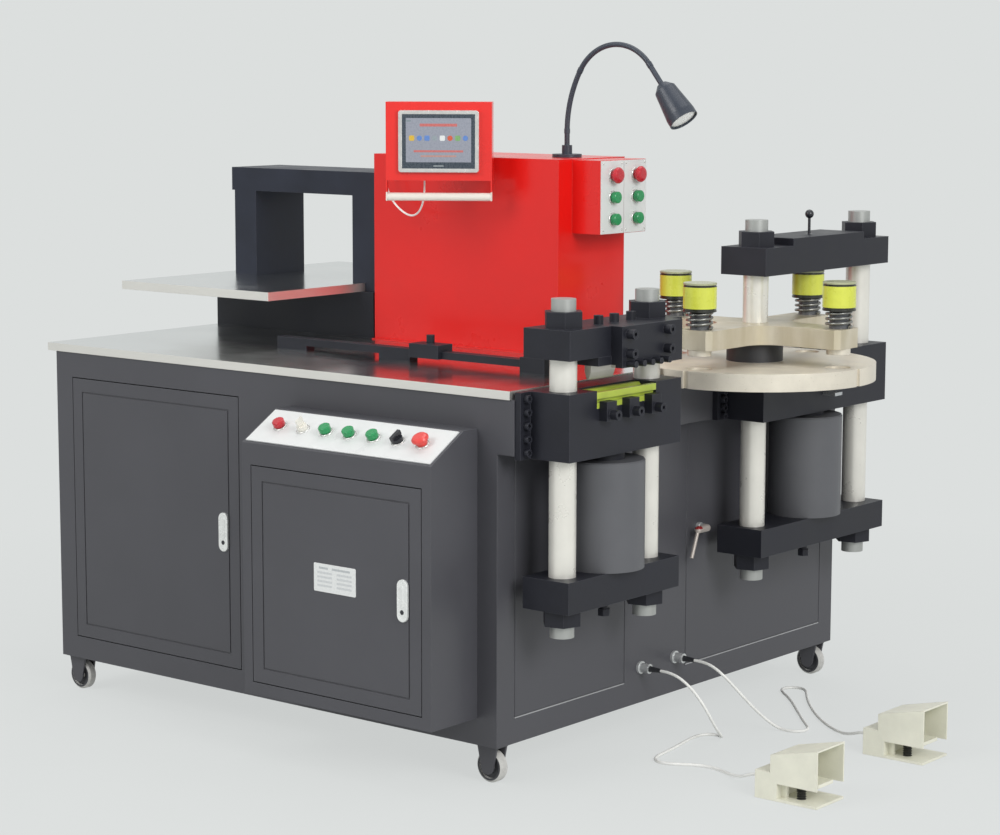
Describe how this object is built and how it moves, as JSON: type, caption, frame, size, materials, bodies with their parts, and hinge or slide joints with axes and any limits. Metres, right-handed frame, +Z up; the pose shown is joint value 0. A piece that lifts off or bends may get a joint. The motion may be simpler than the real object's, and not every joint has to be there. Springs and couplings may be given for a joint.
{
  "type": "busbar working machine",
  "caption": "Wheeled cabinet machine for busbars, with a bending press, a turret punching press and a shear on its table, a switch box, a screen, a lamp and foot switches.",
  "frame": {"origin": "on the floor, under the middle of the whole part's outline without its cables", "axes": "+Z up; -Y the side with the doors and the switch box; +X the side with the two presses"},
  "size_m": [2.147, 1.614, 1.6788],
  "materials": {
    "cabinet_paint": "satin grey paint",
    "black_paint": "satin black paint",
    "red_paint": "gloss red paint",
    "cream_paint": "satin cream paint",
    "white_panel": "white panel film",
    "table_steel": "ground steel",
    "column_steel": "hard chrome",
    "turret_steel": "turned steel",
    "zinc_steel": "zinc plated",
    "spring_steel": "oiled spring steel",
    "tool_green": "yellow green paint",
    "red_plastic": "moulded red",
    "green_plastic": "moulded green",
    "black_plastic": "moulded black",
    "wheel_plastic": "moulded pale grey",
    "cable_white": "white sheath"
  },
  "bodies": {
    "machine_frame": {"cabinet_shell": "cabinet_paint", "table_plate": "table_steel", "caster_forks": "zinc_steel", "switch_box": "cabinet_paint", "panel_plates": "white_panel", "power_pack": "cabinet_paint", "bend_block": "black_paint", "bend_die": "tool_green", "station_clamps": "black_paint", "punch_block": "black_paint", "shear_base": "black_paint", "work_shelf": "table_steel", "ruler_bar": "black_paint", "cover": "red_paint", "screen_lead": "cable_white", "panel_fittings": "zinc_steel", "pedal_housings": "cream_paint", "foot_cable_front": "cable_white", "foot_cable_rear": "cable_white"},
    "bend_press": {"bend_beams": "black_paint", "bend_columns": "column_steel", "bend_cylinder": "black_paint", "bend_tool": "black_paint"},
    "punch_press": {"punch_beams": "black_paint", "punch_columns": "column_steel", "punch_cylinder": "black_paint"},
    "turret": {"turret": "turret_steel", "spring_1": "spring_steel", "spring_2": "spring_steel", "spring_3": "spring_steel", "spring_4": "spring_steel"},
    "wheels_right": {"wheels_right": "wheel_plastic"},
    "wheels_left": {"wheels_left": "wheel_plastic"},
    "cabinet_door": {"cabinet_door": "cabinet_paint"},
    "switch_box_door": {"switch_box_door": "cabinet_paint"},
    "stop_button": {"stop_button": "red_plastic"},
    "key_switch": {"key_switch": "column_steel"},
    "start_button_1": {"start_button_1": "green_plastic"},
    "start_button_2": {"start_button_2": "green_plastic"},
    "start_button_3": {"start_button_3": "green_plastic"},
    "selector_knob": {"selector_knob": "black_plastic"},
    "emergency_button": {"emergency_button": "red_plastic"},
    "side_stop_front": {"side_stop_front": "red_plastic"},
    "side_green_front_upper": {"side_green_front_upper": "green_plastic"},
    "side_green_front_lower": {"side_green_front_lower": "green_plastic"},
    "side_stop_rear": {"side_stop_rear": "red_plastic"},
    "side_green_rear_upper": {"side_green_rear_upper": "green_plastic"},
    "side_green_rear_lower": {"side_green_rear_lower": "green_plastic"},
    "index_latch": {"index_latch": "zinc_steel"},
    "lift_knob": {"lift_knob": "black_plastic"},
    "punch_1": {"punch_1": "tool_green"},
    "punch_2": {"punch_2": "tool_green"},
    "punch_3": {"punch_3": "tool_green"},
    "punch_4": {"punch_4": "tool_green"},
    "shear_yoke": {"shear_yoke": "black_paint"},
    "ruler_stop": {"ruler_stop": "black_paint"},
    "screen_housing": {"screen_housing": "red_paint"},
    "work_lamp": {"work_lamp": "black_paint"},
    "treadle_front": {"treadle_front": "cream_paint"},
    "treadle_rear": {"treadle_rear": "cream_paint"}
  },
  "joints": [
    {"name": "cabinet_door_hinge", "type": "hinge", "parent": "machine_frame", "child": "cabinet_door", "pos_m": [-0.9845, -0.641, 0.487], "axis": [0, 0, 1], "range_deg": [-110, 0]},
    {"name": "switch_box_door_hinge", "type": "hinge", "parent": "machine_frame", "child": "switch_box_door", "pos_m": [-0.1885, -0.802, 0.44], "axis": [0, 0, 1], "range_deg": [-110, 0]},
    {"name": "stop_push", "type": "slide", "parent": "machine_frame", "child": "stop_button", "axis": [0, 0.51, -0.8602], "range_m": [0, 0.004], "stiffness_N_per_m": 800, "springref_m": -0.002},
    {"name": "key_turn", "type": "hinge", "parent": "machine_frame", "child": "key_switch", "pos_m": [-0.0735, -0.7455, 0.7845], "axis": [0, -0.51, 0.8602], "range_deg": [0, 90]},
    {"name": "start_push_1", "type": "slide", "parent": "machine_frame", "child": "start_button_1", "axis": [0, 0.51, -0.8602], "range_m": [0, 0.004], "stiffness_N_per_m": 800, "springref_m": -0.002},
    {"name": "start_push_2", "type": "slide", "parent": "machine_frame", "child": "start_button_2", "axis": [0, 0.51, -0.8602], "range_m": [0, 0.004], "stiffness_N_per_m": 800, "springref_m": -0.002},
    {"name": "start_push_3", "type": "slide", "parent": "machine_frame", "child": "start_button_3", "axis": [0, 0.51, -0.8602], "range_m": [0, 0.004], "stiffness_N_per_m": 800, "springref_m": -0.002},
    {"name": "selector_turn", "type": "hinge", "parent": "machine_frame", "child": "selector_knob", "pos_m": [0.2185, -0.7455, 0.7845], "axis": [0, -0.51, 0.8602], "range_deg": [-45, 45]},
    {"name": "emergency_push", "type": "slide", "parent": "machine_frame", "child": "emergency_button", "axis": [0, 0.51, -0.8602], "range_m": [0, 0.004], "stiffness_N_per_m": 800, "springref_m": -0.002},
    {"name": "side_stop_front_push", "type": "slide", "parent": "machine_frame", "child": "side_stop_front", "axis": [-1, 0, 0], "range_m": [0, 0.004], "stiffness_N_per_m": 800, "springref_m": -0.002},
    {"name": "side_green_front_upper_push", "type": "slide", "parent": "machine_frame", "child": "side_green_front_upper", "axis": [-1, 0, 0], "range_m": [0, 0.004], "stiffness_N_per_m": 800, "springref_m": -0.002},
    {"name": "side_green_front_lower_push", "type": "slide", "parent": "machine_frame", "child": "side_green_front_lower", "axis": [-1, 0, 0], "range_m": [0, 0.004], "stiffness_N_per_m": 800, "springref_m": -0.002},
    {"name": "side_stop_rear_push", "type": "slide", "parent": "machine_frame", "child": "side_stop_rear", "axis": [-1, 0, 0], "range_m": [0, 0.004], "stiffness_N_per_m": 800, "springref_m": -0.002},
    {"name": "side_green_rear_upper_push", "type": "slide", "parent": "machine_frame", "child": "side_green_rear_upper", "axis": [-1, 0, 0], "range_m": [0, 0.004], "stiffness_N_per_m": 800, "springref_m": -0.002},
    {"name": "side_green_rear_lower_push", "type": "slide", "parent": "machine_frame", "child": "side_green_rear_lower", "axis": [-1, 0, 0], "range_m": [0, 0.004], "stiffness_N_per_m": 800, "springref_m": -0.002},
    {"name": "bend_stroke", "type": "slide", "parent": "machine_frame", "child": "bend_press", "axis": [0, 0, 1], "range_m": [-0.04, 0]},
    {"name": "punch_stroke", "type": "slide", "parent": "machine_frame", "child": "punch_press", "axis": [0, 0, 1], "range_m": [-0.04, 0]},
    {"name": "turret_turn", "type": "hinge", "parent": "machine_frame", "child": "turret", "pos_m": [0.5315, 0.219, 0.9], "axis": [0, 0, 1], "continuous": true},
    {"name": "punch_1_slide", "type": "slide", "parent": "turret", "child": "punch_1", "axis": [0, 0, 1], "range_m": [-0.04, 0], "stiffness_N_per_m": 300, "springref_m": 0.06, "deforming": ["spring_1"]},
    {"name": "punch_2_slide", "type": "slide", "parent": "turret", "child": "punch_2", "axis": [0, 0, 1], "range_m": [-0.04, 0], "stiffness_N_per_m": 3000, "springref_m": 0.02, "deforming": ["spring_2"]},
    {"name": "punch_3_slide", "type": "slide", "parent": "turret", "child": "punch_3", "axis": [0, 0, 1], "range_m": [-0.04, 0], "stiffness_N_per_m": 3000, "springref_m": 0.02, "deforming": ["spring_3"]},
    {"name": "punch_4_slide", "type": "slide", "parent": "turret", "child": "punch_4", "axis": [0, 0, 1], "range_m": [-0.04, 0], "stiffness_N_per_m": 3000, "springref_m": 0.02, "deforming": ["spring_4"]},
    {"name": "latch_pull", "type": "slide", "parent": "machine_frame", "child": "index_latch", "axis": [1, 0, 0], "range_m": [0, 0.015]},
    {"name": "knob_lift", "type": "slide", "parent": "punch_press", "child": "lift_knob", "axis": [0, 0, 1], "range_m": [0, 0.02]},
    {"name": "shear_stroke", "type": "slide", "parent": "machine_frame", "child": "shear_yoke", "axis": [0, 0, 1], "range_m": [-0.026, 0]},
    {"name": "ruler_stop_slide", "type": "slide", "parent": "machine_frame", "child": "ruler_stop", "axis": [1, 0, 0], "range_m": [-0.44, 0.235]},
    {"name": "screen_swivel", "type": "hinge", "parent": "machine_frame", "child": "screen_housing", "pos_m": [-0.18042, -0.127, 1.4], "axis": [0, 0, 1], "range_deg": [-56, 1]},
    {"name": "lamp_swivel", "type": "hinge", "parent": "machine_frame", "child": "work_lamp", "pos_m": [0.04464, 0.09409, 1.4], "axis": [0, 0, 1], "range_deg": [-80, 90]},
    {"name": "right_wheels_roll", "type": "hinge", "parent": "machine_frame", "child": "wheels_right", "pos_m": [0.3795, 0.069, 0.038], "axis": [0, 1, 0], "continuous": true},
    {"name": "left_wheels_roll", "type": "hinge", "parent": "machine_frame", "child": "wheels_left", "pos_m": [-1.0055, 0.069, 0.038], "axis": [0, 1, 0], "continuous": true},
    {"name": "treadle_front_press", "type": "hinge", "parent": "machine_frame", "child": "treadle_front", "pos_m": [0.9775, -0.272, 0.04], "axis": [0, 1, 0], "range_deg": [0, 12], "stiffness_Nm_per_rad": 4, "springref_deg": -8.59},
    {"name": "treadle_rear_press", "type": "hinge", "parent": "machine_frame", "child": "treadle_rear", "pos_m": [0.9775, 0.192, 0.04], "axis": [0, 1, 0], "range_deg": [0, 12], "stiffness_Nm_per_rad": 4, "springref_deg": -8.59}
  ],
  "couplings": [
    {"joint": "punch_1_slide", "follows": "punch_stroke", "ratio": 1}
  ]
}
